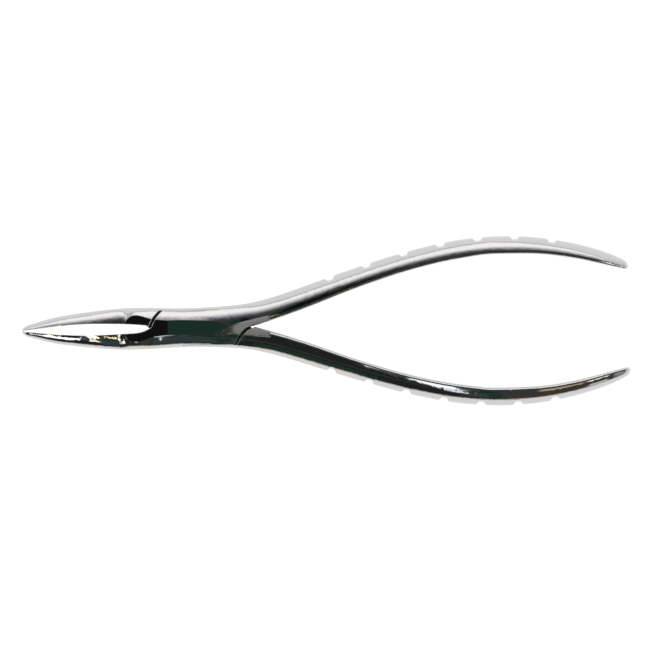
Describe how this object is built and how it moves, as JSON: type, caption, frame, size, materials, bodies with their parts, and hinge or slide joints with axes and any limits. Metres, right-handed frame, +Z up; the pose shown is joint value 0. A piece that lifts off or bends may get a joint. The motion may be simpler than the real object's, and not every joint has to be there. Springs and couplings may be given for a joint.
{
  "type": "grozing pliers",
  "caption": "Slender polished steel box-joint pliers with serrated nose tips, a lens-shaped jaw gap and half-round grooved handles, for nibbling the edges of glass.",
  "frame": {"origin": "centre of the closed pliers' footprint, on the surface that the handles' lowest edges lie on", "axes": "+X from the jaws to the handles along the pliers, +Y towards the upper jaw's side, +Z up along the hinge pin"},
  "size_m": [0.15, 0.042, 0.0095],
  "materials": {
    "box_half": "mirror-polished stainless steel",
    "tenon_half": "mirror-polished stainless steel",
    "pivot_pin": "ground flush and polished stainless steel"
  },
  "bodies": {
    "box_body": {"box_half": "box_half", "pivot_pin": "pivot_pin"},
    "tenon_body": {"tenon_half": "tenon_half"}
  },
  "joints": [
    {"name": "pivot", "type": "hinge", "parent": "box_body", "child": "tenon_body", "pos_m": [-0.03115, 0, 0.00475], "axis": [0, 0, -1], "range_deg": [0, 30]}
  ]
}
